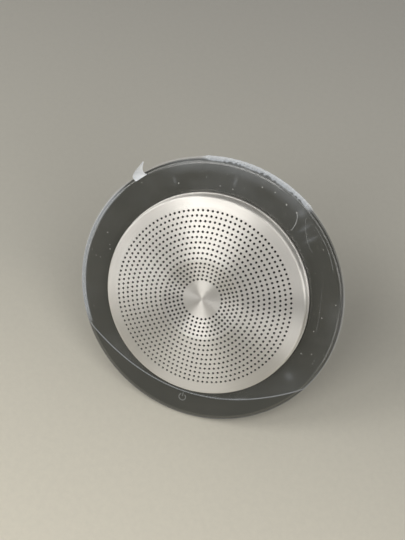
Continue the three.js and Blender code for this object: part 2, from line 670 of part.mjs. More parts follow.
// Stand frame: origin on the hinge axis, the legs along -Y, -Z away from the base.
function buildStand() {
  const leanBack = Math.PI / 2 - FACE_ANGLE;
  const tilt = standTilt();
  const stand = new THREE.Group();
  stand.position.set(0, STAND.pivotY, STAND.pivotZ);
  stand.rotation.x = leanBack + tilt;
  device.add(stand);

  const s = STAND;
  const half = s.thickness / 2;
  const armMiddle = s.halfWidth - s.arm / 2;
  const armSpan = [s.halfWidth - s.arm, s.halfWidth];
  const frame = plate(standShape(0, 0, 0, -s.metalEnd), -half, s.thickness, CORNER_STEPS);
  const eye = crossRod(s.eyeRadius, ...armSpan, 0, 0, SMALL);
  const heel = block(...armSpan, -SUNK, s.heelLength, -s.heelHalf, s.heelHalf);
  const hole = crossRod(s.pinHole, armSpan[0] - OVERRUN, armSpan[1] + OVERRUN, 0, 0);
  const mirrored = (geometry) => geometry.clone().rotateY(Math.PI);
  const bail = shaped(frame, {
    adds: [eye, heel, mirrored(eye), mirrored(heel)],
    cuts: [hole, mirrored(hole)],
  });
  addPart('stand_bail', bail, FINISHES.satinAluminium, stand);

  const pinHalf = s.arm / 2 + CHANNEL.side + CHANNEL.wall - s.pinWall - s.pinPlay;
  for (const [side, sign] of [['left', -1], ['right', 1]]) {
    const pin = crossRod(s.pinRadius, -pinHalf, pinHalf, s.pivotY, s.pivotZ);
    addPart(`stand_pin_${side}`, pin, FINISHES.steel).position.x = sign * armMiddle;
  }
  addPart('stand_foot', standFoot(tilt), FINISHES.rubber, stand);
}

// A rubber strip on the end of the stand, its sole level with the table when the stand is open.
function standFoot(tilt) {
  const { halfLength, halfThickness } = STAND_FOOT;
  const root = STAND.metalEnd + GAP;
  const slope = Math.tan(tilt) * halfThickness;
  const profile = new THREE.Shape();
  profile.moveTo(-root, -halfThickness);
  profile.lineTo(-root, halfThickness);
  profile.lineTo(-STAND.length + slope, halfThickness);
  profile.lineTo(-STAND.length - slope, -halfThickness);
  profile.closePath();
  const geometry = plate(profile, -halfLength, 2 * halfLength);
  // Stands the profile's x along the leg and its y along the thickness, extruded along X.
  const turn = new THREE.Matrix4().makeBasis(
    new THREE.Vector3(0, 1, 0), new THREE.Vector3(0, 0, 1), new THREE.Vector3(1, 0, 0),
  );
  return closedGeometry(geometry.applyMatrix4(turn));
}

// ---------------------------------------------------------------- delivery film and its tab

function buildFilm() {
  const f = FILM;
  const [left, right] = [f.leftEnd, f.rightEnd].map((angle) => polar(f.outer, angle));
  const shape = new THREE.Shape();
  const turnOf = (degrees) => THREE.MathUtils.degToRad(degrees);
  shape.absarc(0, 0, f.outer, turnOf(f.rightEnd - 360), turnOf(f.leftEnd));
  // The lower edge bows down through its own middle point.
  const controlY = 2 * (f.bottomY - (left[1] + right[1]) / 4);
  shape.quadraticCurveTo(0, controlY, right[0], right[1]);
  const hole = new THREE.Path();
  hole.absarc(-f.shiftX, -f.shiftY, f.inner, 0, 2 * Math.PI, true);
  shape.holes.push(hole);
  const film = plate(shape, f.bottom, f.thickness, OUTLINE_STEPS);
  addPart('protective_film', film, FINISHES.film).position.set(f.shiftX, f.shiftY, 0);

  const t = TAB;
  const curlStart = [t.bend, t.bottom + t.curlRadius];
  const under = arcPoints(curlStart, t.curlRadius, -90, -90 + t.curlAngle, 6);
  const over = arcPoints(curlStart, t.curlRadius - t.thickness, -90 + t.curlAngle, -90, 6);
  const profile = new THREE.Shape();
  profile.moveTo(t.root, t.bottom);
  [...under, ...over, [t.root, t.bottom + t.thickness]].forEach(([x, y]) => profile.lineTo(x, y));
  profile.closePath();
  const geometry = plate(profile, -t.width / 2, t.width);
  const tab = closedGeometry(geometry.rotateX(Math.PI / 2));
  addPart('film_pull_tab', tab, FINISHES.palePlastic).rotation.z = turnOf(t.angle);
}

// ---------------------------------------------------------------- assembly

buildCap();
buildRing();
buildUpperHousing();
buildLowerHousing();
buildBase();
addScrews('housing_screw', HOUSING_SCREW, HOUSING_SCREW.headBottom, HOUSING_SCREW.headTop, screwPlaces());
buildBaffle();
buildMotor();
buildMovingCone();
buildSuspension();
addScrews(
  'speaker_screw', SPEAKER_SCREW, SPEAKER_SEAT + SPEAKER_SCREW.headHeight, SPEAKER_SEAT,
  speakerScrewPlaces(),
);
buildMicrophone();
buildBattery();
buildBoard();
buildStand();
buildFilm();

// Stands the part on z = 0 with the middle of its outline on the vertical axis.
device.position.z = rimLift();
speakerphone.updateMatrixWorld(true);
const outline = new THREE.Box3().setFromObject(speakerphone, true);
device.position.y = -(outline.min.y + outline.max.y) / 2;

export default speakerphone;
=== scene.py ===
"""Looks of the conference speakerphone: perforated brushed cap, glossy touch ring under its
delivery film, housings, fold-out stand and the parts inside, on a plain pale floor.

Lengths in the making of pieces are millimetres in the disc frame: +Z out of the face along the
disc's axis, +Y up the face, +X right, zero at the underside of the rubber base.
"""
import json
import math
import random

import bmesh
import bpy
import numpy as np
from mathutils import Matrix, Vector, geometry


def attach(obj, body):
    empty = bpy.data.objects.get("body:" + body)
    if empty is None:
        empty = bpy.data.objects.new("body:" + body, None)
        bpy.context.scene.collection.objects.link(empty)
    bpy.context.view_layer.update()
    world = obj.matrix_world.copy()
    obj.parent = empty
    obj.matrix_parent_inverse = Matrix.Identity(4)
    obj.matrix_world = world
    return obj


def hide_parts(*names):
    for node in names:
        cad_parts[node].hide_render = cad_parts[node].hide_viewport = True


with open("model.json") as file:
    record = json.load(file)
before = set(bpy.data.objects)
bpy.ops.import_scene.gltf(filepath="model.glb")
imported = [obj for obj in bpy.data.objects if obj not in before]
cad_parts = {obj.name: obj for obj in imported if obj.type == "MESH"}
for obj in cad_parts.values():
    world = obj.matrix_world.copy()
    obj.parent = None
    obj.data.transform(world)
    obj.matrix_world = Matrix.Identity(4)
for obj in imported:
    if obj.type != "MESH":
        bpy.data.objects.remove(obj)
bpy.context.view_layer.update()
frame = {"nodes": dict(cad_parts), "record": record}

MM = 0.001
TURN = 2 * math.pi

# ------------------------------------------------------------------ the disc's own frame

pad_mount = next(m for m in frame["record"]["mounts"] if m["name"] == "base_pad_underside")
OUTWARD = -Vector(pad_mount["axis"]).normalized()
RIGHTWARD = Vector((1, 0, 0))
UPWARD = OUTWARD.cross(RIGHTWARD)
DISC = Matrix((RIGHTWARD, UPWARD, OUTWARD)).transposed().to_4x4()
DISC.translation = Vector(pad_mount["pos_m"])


def on_disc(x, y, z):
    """The row-frame place of a point given in millimetres in the disc frame."""
    return DISC @ Vector((x * MM, y * MM, z * MM))


# ------------------------------------------------------------------ camera

CAMERA_PLACE = (79.9, 142.7, 417.4)  # millimetres, disc frame
CAMERA_PITCH = 54.79  # degrees below level
CAMERA_HEADING = 20.33  # degrees turned left of +Y
CAMERA_SENSOR, CAMERA_LENS = 36, 58.16

camera_data = bpy.data.cameras.new("camera")
camera_data.sensor_width = CAMERA_SENSOR
camera_data.lens = CAMERA_LENS
camera_data.clip_start = 0.01
camera = bpy.data.objects.new("camera", camera_data)
camera.location = on_disc(*CAMERA_PLACE)
camera.rotation_euler = (math.radians(90 - CAMERA_PITCH), 0, math.radians(CAMERA_HEADING))
bpy.context.scene.collection.objects.link(camera)
bpy.context.scene.camera = camera
bpy.context.scene.view_settings.view_transform = "Standard"

# ------------------------------------------------------------------ material building

BLOTCH_SCALE, SMEAR_SCALE = 60.0, 162.0
ROUGHNESS_RANGE = 0.08  # how far moulded surfaces stray either side of their roughness


class Look:
    """A node material under construction: one Principled shader and helpers to feed it."""

    def __init__(self, name, color, roughness, metallic=0.0, **sockets):
        self.material = bpy.data.materials.new(name)
        self.material.use_nodes = True
        self.tree = self.material.node_tree
        self.shader = self.tree.nodes["Principled BSDF"]
        self.color = (*color, 1.0)
        self.roughness = roughness
        self.shader.inputs["Base Color"].default_value = self.color
        self.shader.inputs["Roughness"].default_value = roughness
        self.shader.inputs["Metallic"].default_value = metallic
        for socket, value in sockets.items():
            self.shader.inputs[socket.replace("_", " ")].default_value = value
        self.place = self.tree.nodes.new("ShaderNodeTexCoord").outputs["Object"]
        self.bump_from = None

    def node(self, kind, values=None, **settings):
        made = self.tree.nodes.new("ShaderNode" + kind)
        for key, value in settings.items():
            setattr(made, key, value)
        for key, value in (values or {}).items():
            if isinstance(value, bpy.types.NodeSocket):
                self.tree.links.new(value, made.inputs[key])
            else:
                made.inputs[key].default_value = value
        return made

    def feed(self, socket, value):
        self.tree.links.new(value, self.shader.inputs[socket])

    def math(self, operation, a, b=0.0, clamp=False):
        made = self.node("Math", {0: a, 1: b}, operation=operation, use_clamp=clamp)
        return made.outputs[0]

    def noise(self, scale, detail, rough=0.5, vector=None, stretch=None):
        vector = vector or self.place
        if stretch:
            vector = self.node("Mapping", {"Vector": vector, "Scale": stretch}).outputs[0]
        values = {"Vector": vector, "Scale": scale, "Detail": detail, "Roughness": rough}
        return self.node("TexNoise", values).outputs["Fac"]

    def spread(self, value, low, high, start=0.3, end=0.7):
        """Maps a 0..1 value, between start and end, onto low..high."""
        made = self.node("MapRange", {
            "Value": value, "From Min": start, "From Max": end, "To Min": low, "To Max": high,
        })
        return made.outputs["Result"]

    def mix(self, factor, a, b):
        made = self.tree.nodes.new("ShaderNodeMix")
        made.data_type = "RGBA"
        for socket, value in ((made.inputs[0], factor), (made.inputs[6], a), (made.inputs[7], b)):
            if isinstance(value, bpy.types.NodeSocket):
                self.tree.links.new(value, socket)
            else:
                socket.default_value = value if not isinstance(value, tuple) else (*value[:3], 1.0)
        return made.outputs[2]

    def bump(self, height, distance, strength=1.0):
        made = self.node("Bump", {"Height": height, "Distance": distance, "Strength": strength})
        if self.bump_from is not None:
            self.tree.links.new(self.bump_from, made.inputs["Normal"])
        self.bump_from = made.outputs["Normal"]
        self.feed("Normal", self.bump_from)

    def vary(self, tint, grain, depth):
        """Blotchy colour and roughness, fine grain in the bump: the everyday moulded surface."""
        patches = self.noise(BLOTCH_SCALE, 3.0)
        other = tuple(min(1.0, c * (1 + tint)) for c in self.color[:3])
        self.feed("Base Color", self.mix(self.spread(patches, 0, 1), self.color, other))
        smear = self.noise(SMEAR_SCALE, 4.0, 0.6)
        low, high = self.roughness - ROUGHNESS_RANGE, self.roughness + ROUGHNESS_RANGE
        self.feed("Roughness", self.spread(smear, max(low, 0.02), min(high, 1.0)))
        self.bump(self.noise(grain, 2.0, 0.6), depth * MM)
        return self


def moulded(name, color, roughness, grain=2600.0, depth=0.02, tint=0.18, **sockets):
    return Look(name, color, roughness, **sockets).vary(tint, grain, depth).material


def disc_radius(look):
    """Distance from the disc's axis, in metres, for pieces whose object frame is the disc's."""
    split = look.node("SeparateXYZ", {0: look.place})
    x2 = look.math("MULTIPLY", split.outputs[0], split.outputs[0])
    y2 = look.math("MULTIPLY", split.outputs[1], split.outputs[1])
    return look.math("SQRT", look.math("ADD", x2, y2))


def axis_distance(look):
    """Distance from the disc's axis, in metres, for nodes whose object frame is the row's."""
    def vector(operation, values, output=0):
        return look.node("VectorMath", values, operation=operation).outputs[output]

    place = vector("SUBTRACT", {0: look.place, 1: DISC.translation})
    along = vector("DOT_PRODUCT", {0: place, 1: OUTWARD}, "Value")
    drop = vector("SCALE", {0: OUTWARD, "Scale": along})
    return vector("LENGTH", {0: vector("SUBTRACT", {0: place, 1: drop})}, "Value")


RUBBER_RIDGE_PITCH = 2.2
CAP_COLOR, CAP_COLOR_DARKER = (0.85, 0.835, 0.805), (0.79, 0.77, 0.735)
SCRATCH_TURN = 0.0006  # radius, in texture space, of the circle that a scratch follows


def brushed_cap_material():
    look = Look("cap_brushed_aluminium", CAP_COLOR, 0.4, 1.0,
                Anisotropic=0.95, Anisotropic_Rotation=0.25)
    tangent = look.node("Tangent", direction_type="RADIAL", axis="Z")
    look.feed("Tangent", tangent.outputs[0])
    radius = disc_radius(look)
    split = look.node("SeparateXYZ", {0: look.place})
    # Scratches run round the axis: fine along the radius, long round the turn.
    turn_x = look.math("DIVIDE", look.math("MULTIPLY", split.outputs[0], SCRATCH_TURN), radius)
    turn_y = look.math("DIVIDE", look.math("MULTIPLY", split.outputs[1], SCRATCH_TURN), radius)
    track = look.node("CombineXYZ", {0: radius, 1: turn_x, 2: turn_y})
    scratches = look.noise(5200.0, 3.0, 0.7, vector=track.outputs[0])
    broad = look.noise(900.0, 2.0, 0.5, vector=track.outputs[0])
    cloud = look.noise(45.0, 3.0)
    shade = look.math("ADD", look.spread(scratches, 0.0, 0.6), look.spread(cloud, 0.0, 0.4))
    look.feed("Base Color", look.mix(shade, look.color, CAP_COLOR_DARKER))
    fine = look.spread(scratches, -0.03, 0.04)
    look.feed("Roughness", look.math("ADD", look.spread(broad, 0.37, 0.42), fine))
    look.bump(scratches, 0.0012 * MM, 0.6)
    return look.material


def gloss_ring_material():
    look = Look("ring_gloss_black", (0.064, 0.065, 0.057), 0.09,
                Coat_Weight=0.6, Coat_Roughness=0.04)
    haze = look.noise(38.0, 4.0, 0.55)
    look.feed("Base Color", look.mix(look.spread(haze, 0, 1), look.color, (0.075, 0.075, 0.066)))
    smear = look.noise(90.0, 5.0, 0.65, stretch=(1.0, 2.2, 1.0))
    look.feed("Roughness", look.spread(smear, 0.07, 0.17))
    look.bump(look.noise(14.0, 1.0), 0.02 * MM, 0.4)
    return look.material


def film_material():
    look = Look("delivery_film", (0.76, 0.81, 0.88), 0.16, Specular_IOR_Level=0.5)
    look.material.surface_render_method = "BLENDED"
    haze = look.node("Attribute", attribute_name="haze").outputs["Fac"]
    specks = look.node("TexVoronoi", {"Vector": look.place, "Scale": 210.0}).outputs["Distance"]
    seen = look.noise(60.0, 2.0)
    dot = look.spread(specks, 1.0, 0.0, 0.05, 0.09)
    dot = look.math("MULTIPLY", dot, look.spread(seen, 0, 1, 0.62, 0.66))
    smear = look.spread(look.noise(26.0, 5.0, 0.6), 0.0, 0.03, 0.5, 0.8)
    veil = look.math("ADD", haze, smear)
    alpha = look.math("ADD", veil, look.math("MULTIPLY", dot, 0.5), clamp=True)
    look.feed("Alpha", alpha)
    look.feed("Roughness", look.spread(look.noise(70.0, 3.0), 0.10, 0.30))
    return look.material


def tab_material():
    look = Look("tab_milky_film", (0.86, 0.89, 0.93), 0.32, Subsurface_Weight=0.15)
    look.shader.inputs["Subsurface Radius"].default_value = (0.002, 0.002, 0.002)
    streak = look.noise(160.0, 3.0, stretch=(1.0, 6.0, 1.0))
    look.feed("Base Color", look.mix(look.spread(streak, 0, 1), look.color, (0.72, 0.76, 0.82)))
    look.bump(look.noise(240.0, 2.0), 0.05 * MM)
    return look.material


def cloth_material(name, color):
    look = Look(name, color, 0.9, Sheen_Weight=0.15)
    wave_x = look.node("TexWave", {"Vector": look.place, "Scale": 900.0}, bands_direction="X")
    wave_y = look.node("TexWave", {"Vector": look.place, "Scale": 900.0}, bands_direction="Y")
    weave = look.math("MULTIPLY", wave_x.outputs["Fac"], wave_y.outputs["Fac"])
    lighter = tuple(min(1.0, 1.6 * c + 0.01) for c in color)
    look.feed("Base Color", look.mix(weave, look.color, lighter))
    look.bump(weave, 0.06 * MM)
    return look.material


def turned_metal(name, color, roughness, anisotropy=0.4):
    look = Look(name, color, roughness, 1.0, Anisotropic=anisotropy)
    grain = look.noise(900.0, 3.0, 0.6, stretch=(1.0, 1.0, 5.0))
    darker = tuple(0.82 * c for c in color)
    look.feed("Base Color", look.mix(look.spread(grain, 0, 1), look.color, darker))
    look.feed("Roughness", look.spread(look.noise(300.0, 3.0), roughness - 0.07, roughness + 0.09))
    look.bump(grain, 0.006 * MM)
    return look.material


def board_material(name, mask, trace):
    look = Look(name, mask, 0.42, Coat_Weight=0.3)
    cells = look.node("TexVoronoi", {"Vector": look.place, "Scale": 420.0},
                      distance="CHEBYCHEV", feature="F2")
    lines = look.spread(cells.outputs["Distance"], 0.0, 1.0, 0.42, 0.5)
    look.feed("Base Color", look.mix(lines, look.color, trace))
    look.bump(lines, 0.03 * MM)
    return look.material


def rubber_material():
    """Soft rubber, with fine ridges round the disc's axis."""
    look = Look("soft_black_rubber", (0.026, 0.026, 0.027), 0.72)
    look.vary(0.25, 1500.0, 0.04)
    turn = look.math("MULTIPLY", axis_distance(look), TURN / (RUBBER_RIDGE_PITCH * MM))
    look.bump(look.spread(look.math("SINE", turn), 0, 1, -0.2, 0.6), 0.14 * MM)
    return look.material


SLOT_LOOKS = {
    "brushed_aluminium": brushed_cap_material(),
    "satin_aluminium": turned_metal("stand_satin_aluminium", (0.56, 0.565, 0.575), 0.36),
    "gloss_black": gloss_ring_material(),
    "matte_black_plastic": moulded(
        "housing_black_plastic", (0.026, 0.026, 0.027), 0.44, 3200.0, 0.035, 0.3,
    ),
    "grey_plastic": moulded("inner_grey_plastic", (0.05, 0.05, 0.053), 0.55),
    "black_rubber": rubber_material(),
    "black_cloth": cloth_material("acoustic_cloth", (0.006, 0.006, 0.006)),
    "foam": moulded("open_foam", (0.02, 0.02, 0.021), 0.95, 1200.0, 0.25),
    "treated_cloth": cloth_material("spider_cloth", (0.30, 0.17, 0.05)),
    "clear_plastic": moulded("frosted_guide", (0.72, 0.75, 0.73), 0.3, Transmission_Weight=0.5),
    "circuit_board": board_material("green_board", (0.015, 0.09, 0.04), (0.04, 0.19, 0.09)),
    "flex_circuit": board_material("amber_circuit", (0.30, 0.13, 0.02), (0.55, 0.30, 0.08)),
    "bare_steel": turned_metal("bare_steel", (0.58, 0.58, 0.60), 0.3),
    "zinc_steel": turned_metal("zinc_steel", (0.50, 0.51, 0.53), 0.38),
    "ferrite": moulded("ferrite_magnet", (0.03, 0.03, 0.031), 0.6, 1800.0, 0.04),
    "copper": turned_metal("copper_winding", (0.72, 0.30, 0.13), 0.32, 0.7),
    "cone_paper": moulded("coated_paper", (0.02, 0.019, 0.018), 0.8, 1500.0, 0.08),
    "chip_plastic": moulded("chip_epoxy", (0.015, 0.015, 0.016), 0.45),
    "white_plastic": moulded("socket_white_plastic", (0.68, 0.68, 0.65), 0.4),
    "cell_pouch": moulded("cell_pouch", (0.45, 0.46, 0.48), 0.3, 300.0, 0.12, Metallic=0.7),
    "clear_film": film_material(),
    "white_tab": tab_material(),
}

# ------------------------------------------------------------------ mesh building

# Edges that bend by more than these stay sharp: the usual, on the rim, on round rings, on thin sheets.
SHARP, SHARP_RIM, SHARP_RING, SHARP_SHEET = (math.radians(a) for a in (32, 30, 40, 60))
SAME_POINT = 1e-7  # metres; closer points of a new piece become one
ROUND_SEGMENTS = 256


def piece(name, vertices, faces, material, body, replaces=(), sharp=SHARP):
    """A mesh object in the disc frame from millimetre vertices, riding on a body."""
    mesh = bpy.data.meshes.new(name)
    mesh.from_pydata([tuple(c * MM for c in v) for v in vertices], [], [tuple(f) for f in faces])
    mesh.materials.append(material)
    mesh.validate()
    tidy = bmesh.new()
    tidy.from_mesh(mesh)
    bmesh.ops.remove_doubles(tidy, verts=tidy.verts, dist=SAME_POINT)
    bmesh.ops.recalc_face_normals(tidy, faces=tidy.faces)
    tidy.to_mesh(mesh)
    tidy.free()
    mesh.shade_smooth()
    mesh.set_sharp_from_angle(angle=sharp)
    made = bpy.data.objects.new(name, mesh)
    bpy.context.scene.collection.objects.link(made)
    made.matrix_world = DISC
    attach(made, body)
    if replaces:
        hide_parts(*replaces)
    return made


def ring_points(radius, height, count, phase=0.0):
    angles = phase + TURN * np.arange(count) / count
    return np.column_stack([radius * np.cos(angles), radius * np.sin(angles), np.full(count, height)])


def turned_mesh(profile):
    """Vertices and faces of a closed (radius, height) profile turned about the axis."""
    vertices, faces = [], []
    for radius, height in profile:
        vertices.extend(ring_points(radius, height, ROUND_SEGMENTS).tolist())
    for row in range(len(profile)):
        a, b = row * ROUND_SEGMENTS, (row + 1) % len(profile) * ROUND_SEGMENTS
        for i in range(ROUND_SEGMENTS):
            j = (i + 1) % ROUND_SEGMENTS
            faces.append((a + i, a + j, b + j, b + i))
    return vertices, faces


def arc(centre, radius, start, end, steps, squash=1.0):
    """Points of a profile round a centre, from one angle to another in degrees."""
    angles = [math.radians(start + (end - start) * i / steps) for i in range(steps + 1)]
    return [(centre[0] + radius * math.cos(a), centre[1] + squash * radius * math.sin(a)) for a in angles]


# ------------------------------------------------------------------ perforated cap

CAP_RADIUS = 49.65
CAP_WALL = 0.8
CAP_EDGE_ROUND = 1.2
CAP_SKIRT_BOTTOM = 22.2
CAP_FACE_WALL = 0.45  # the perforated face is drawn thinner than the skirt
CAP_FOOT_TOP, CAP_FOOT_DROP, CAP_FOOT_EDGE = 26.3, 0.9, 1.05
CAP_FOOT_FLARE, CAP_FOOT_LIP = 0.5, 0.1
CAP_CORNER_IN, CAP_CORNER_UP = 0.3, 0.35  # the inside corner between skirt and face
CAP_CREST_HEIGHT = 35.0
DOME_CURVE = 232.5  # radius of the dome's curve
CREST_RADIUS, CREST_SOFTNESS = 19.5, 0.7
CONE_START = 9.3
CONE_SLOPE = 0.128
HOLE_RADIUS, HOLE_CHAMFER, HOLE_SIDES = 0.58, 0.04, 12
HOLES_PER_ROW_NUMBER = 6  # row k has 6k holes
ROW_NUMBERS = range(5, 20)
NARROW_PITCH, WIDE_PITCH = 2.0, 2.5
LAST_NARROW_ROW = 9  # rows further out are a wide pitch apart
CAP_SEGMENTS = 240
RISE_STEPS = 5000
PLAN_TOLERANCE = 1e-5  # closer points of the cap's plan would become one
FACE_UPRIGHT = 0.9  # the face's normals have at least this z; hole walls, skirt and underside less
# Radius and point count of the plain loops that carry the face's bends.
FACE_LOOPS = (
    (3.0, 24), (6.0, 48), (CONE_START - 0.4, 72), (CREST_RADIUS - 0.35, 144), (CREST_RADIUS + 0.25, 144),
    (44.6, 200), (46.5, 220), (CAP_RADIUS - CAP_EDGE_ROUND, CAP_SEGMENTS),
)


def smooth_step(value, start, end):
    t = np.clip((np.asarray(value, float) - start) / (end - start), 0, 1)
    return t * t * (3 - 2 * t)


def cap_slope(radius):
    """Rise of the cap's outside per millimetre of radius: flat, cone, crest, dome."""
    cone = CONE_SLOPE * smooth_step(radius, CONE_START - 0.5, CONE_START + 0.7)
    dome = -np.asarray(radius, float) / DOME_CURVE
    turn_over = smooth_step(radius, CREST_RADIUS - CREST_SOFTNESS, CREST_RADIUS + CREST_SOFTNESS)
    return cone * (1 - turn_over) + dome * turn_over


def integrated_rise():
    """Radii across the cap and the height of its outside at each."""
    radii = np.linspace(0, CAP_RADIUS, RISE_STEPS)
    middles = (radii[1:] + radii[:-1]) / 2
    rise = np.concatenate([[0], np.cumsum(cap_slope(middles) * np.diff(radii))])
    return radii, rise + CAP_CREST_HEIGHT - rise.max()


CAP_RADII, CAP_RISE = integrated_rise()


def cap_height(radius):
    return np.interp(radius, CAP_RADII, CAP_RISE)


def hole_centres():
    """Centres of the holes, row after row, each row starting straight up the face."""
    centres = []
    for k in ROW_NUMBERS:
        wide_rows = max(k - LAST_NARROW_ROW, 0)
        radius = NARROW_PITCH * (k - wide_rows) + WIDE_PITCH * wide_rows
        centres.extend(ring_points(radius, 0, HOLES_PER_ROW_NUMBER * k, math.pi / 2)[:, :2])
    return centres


def cap_plan():
    """Flat layout of the cap's face: points, loops to keep as edges, and each point's hole."""
    points, loops, owner = [], [], []

    def add_loop(loop, hole):
        loops.append(list(range(len(points), len(points) + len(loop))))
        points.extend(map(tuple, loop))
        owner.extend([hole] * len(loop))

    for radius, count in FACE_LOOPS:
        add_loop(ring_points(radius, 0, count)[:, :2], -1)
    points.append((0.0, 0.0))
    owner.append(-1)
    circle = ring_points(HOLE_RADIUS + HOLE_CHAMFER, 0, HOLE_SIDES)[:, :2]
    centres = hole_centres()
    for number, centre in enumerate(centres):
        add_loop(circle + centre, number)
    return np.array(points), loops, np.array(owner), np.array(centres)


def lifted(flat, drop):
    """Points of the cap's face moved onto its outside and then in by a thickness."""
    radius = np.hypot(flat[:, 0], flat[:, 1])
    slope = cap_slope(radius)
    length = np.sqrt(1 + slope ** 2)
    away = flat / np.maximum(radius, 1e-9)[:, None]
    inward = np.column_stack([slope[:, None] * away, -np.ones(len(flat))]) / length[:, None]
    return np.column_stack([flat, cap_height(radius)]) + drop * inward


def build_cap():
    plan, loops, owner, centres = cap_plan()
    edges = [(loop[i], loop[(i + 1) % len(loop)]) for loop in loops for i in range(len(loop))]
    plan_points = [Vector(p) for p in plan]
    cut = geometry.delaunay_2d_cdt(plan_points, edges, [], 0, PLAN_TOLERANCE)
    cut_points, triangles = cut[0], cut[2]
    if len(cut_points) != len(plan):
        raise ValueError("the cap's plan has points that meet")
    solid = [t for t in triangles if owner[t[0]] < 0 or len({owner[i] for i in t}) > 1]
    count = len(plan)
    in_hole = owner >= 0
    narrow = plan.copy()
    middle = centres[owner[in_hole]]
    narrow[in_hole] = middle + (plan[in_hole] - middle) * HOLE_RADIUS / (HOLE_RADIUS + HOLE_CHAMFER)
    vertices = np.vstack([lifted(plan, 0), lifted(narrow, HOLE_CHAMFER), lifted(narrow, CAP_FACE_WALL)])
    vertices = vertices.tolist()
    faces = [tuple(t) for t in solid] + [tuple(i + 2 * count for i in reversed(t)) for t in solid]
    for loop in loops:
        if owner[loop[0]] < 0:
            continue
        for i, a in enumerate(loop):
            b = loop[(i + 1) % len(loop)]
            faces.append((b, a, a + count, b + count))
            faces.append((b + count, a + count, a + 2 * count, b + 2 * count))
    add_cap_skirt(vertices, faces, loops, owner, count)
    cap = piece("grille_cap_perforated", vertices, faces, SLOT_LOOKS["brushed_aluminium"],
                "housing", ["grille_cap"])
    set_cap_normals(cap.data)


def add_cap_skirt(vertices, faces, loops, owner, count):
    """The rolled edge and side wall, from the face's rim down outside and back up inside."""
    rim = CAP_RADIUS - CAP_EDGE_ROUND
    rim_loop = next(l for l in loops if owner[l[0]] < 0 and len(l) == CAP_SEGMENTS)
    tilt = math.degrees(math.atan(-float(cap_slope(rim))))
    centre = (rim - CAP_EDGE_ROUND * math.sin(math.radians(tilt)),
              float(cap_height(rim)) - CAP_EDGE_ROUND * math.cos(math.radians(tilt)))
    reach = CAP_RADIUS - centre[0]
    outside = [(centre[0] + reach * math.cos(a), centre[1] + CAP_EDGE_ROUND * math.sin(a))
               for a in np.radians(np.linspace(90 - tilt, 0, 7)[1:])]
    foot = CAP_RADIUS + CAP_FOOT_FLARE
    outside += [(CAP_RADIUS, CAP_FOOT_TOP)]
    outside += [(foot - CAP_FOOT_FLARE * math.cos(a), CAP_FOOT_TOP - CAP_FOOT_DROP * math.sin(a))
                for a in np.radians(np.linspace(15, 90, 6))]
    lip = foot + CAP_FOOT_LIP
    outside += [(lip, CAP_FOOT_TOP - CAP_FOOT_EDGE), (lip, CAP_SKIRT_BOTTOM)]
    inner = CAP_RADIUS - CAP_WALL
    inside = [(inner, CAP_SKIRT_BOTTOM), (inner, centre[1]),
              (inner - CAP_CORNER_IN, centre[1] + CAP_CORNER_UP)]
    previous = rim_loop
    for radius, height in outside + inside:
        start = len(vertices)
        vertices.extend(ring_points(radius, height, CAP_SEGMENTS).tolist())
        current = list(range(start, start + CAP_SEGMENTS))
        bridge(faces, previous, current)
        previous = current
    bridge(faces, previous, [i + 2 * count for i in rim_loop])


def bridge(faces, above, below):
    for i in range(len(above)):
        j = (i + 1) % len(above)
        faces.append((above[i], below[i], below[j], above[j]))


def set_cap_normals(mesh):
    """The formed sheet's true slope as shading normals on its face, so its triangles don't show."""
    normals = np.zeros((len(mesh.loops), 3))
    for polygon in mesh.polygons:
        centre = polygon.center
        radius = math.hypot(centre.x, centre.y) / MM
        if radius > CAP_RADIUS - CAP_EDGE_ROUND or polygon.normal.z < FACE_UPRIGHT:
            continue
        for loop in polygon.loop_indices:
            x, y, _ = mesh.vertices[mesh.loops[loop].vertex_index].co
            r = max(math.hypot(x, y), 1e-9)
            slope = float(cap_slope(r / MM))
            normals[loop] = Vector((-slope * x / r, -slope * y / r, 1)).normalized()
    mesh.normals_split_custom_set([tuple(n) for n in normals])


# ------------------------------------------------------------------ touch ring

RING_INNER, RING_OUTER = 50.6, 65.7
RING_TOP, RING_BOTTOM = 24.3, 22.1
RING_INNER_ROUND, RING_UNDER_CHAMFER = 0.35, 0.3
BEVEL_START = 63.7
BEVEL_DROP = 1.2
RING_FLAT_LOOPS = (58.0, 54.0)  # radii of the loops that keep the flat top's shading even
TRIM_INNER, TRIM_OUTER = 65.75, 66.2
TRIM_BOTTOM, TRIM_SHOULDER = 21.9, 23.2
TRIM_ROUND = 0.22
TRIM_CHAMFER_IN, TRIM_CHAMFER_UP = 0.1, 0.2


def build_ring():
    bevel_width = RING_OUTER - BEVEL_START
    profile = [(RING_INNER, RING_BOTTOM), (RING_OUTER - RING_UNDER_CHAMFER, RING_BOTTOM),
               (RING_OUTER, RING_BOTTOM + RING_UNDER_CHAMFER)]
    profile += arc((BEVEL_START, RING_TOP - BEVEL_DROP), bevel_width, 0, 90, 8, BEVEL_DROP / bevel_width)
    profile += [(radius, RING_TOP) for radius in RING_FLAT_LOOPS]
    inner_round = (RING_INNER + RING_INNER_ROUND, RING_TOP - RING_INNER_ROUND)
    profile += arc(inner_round, RING_INNER_ROUND, 90, 180, 4)
    vertices, faces = turned_mesh(profile)
    piece("touch_ring_glossy", vertices, faces, SLOT_LOOKS["gloss_black"], "housing",
          ["touch_ring"], SHARP_RING)


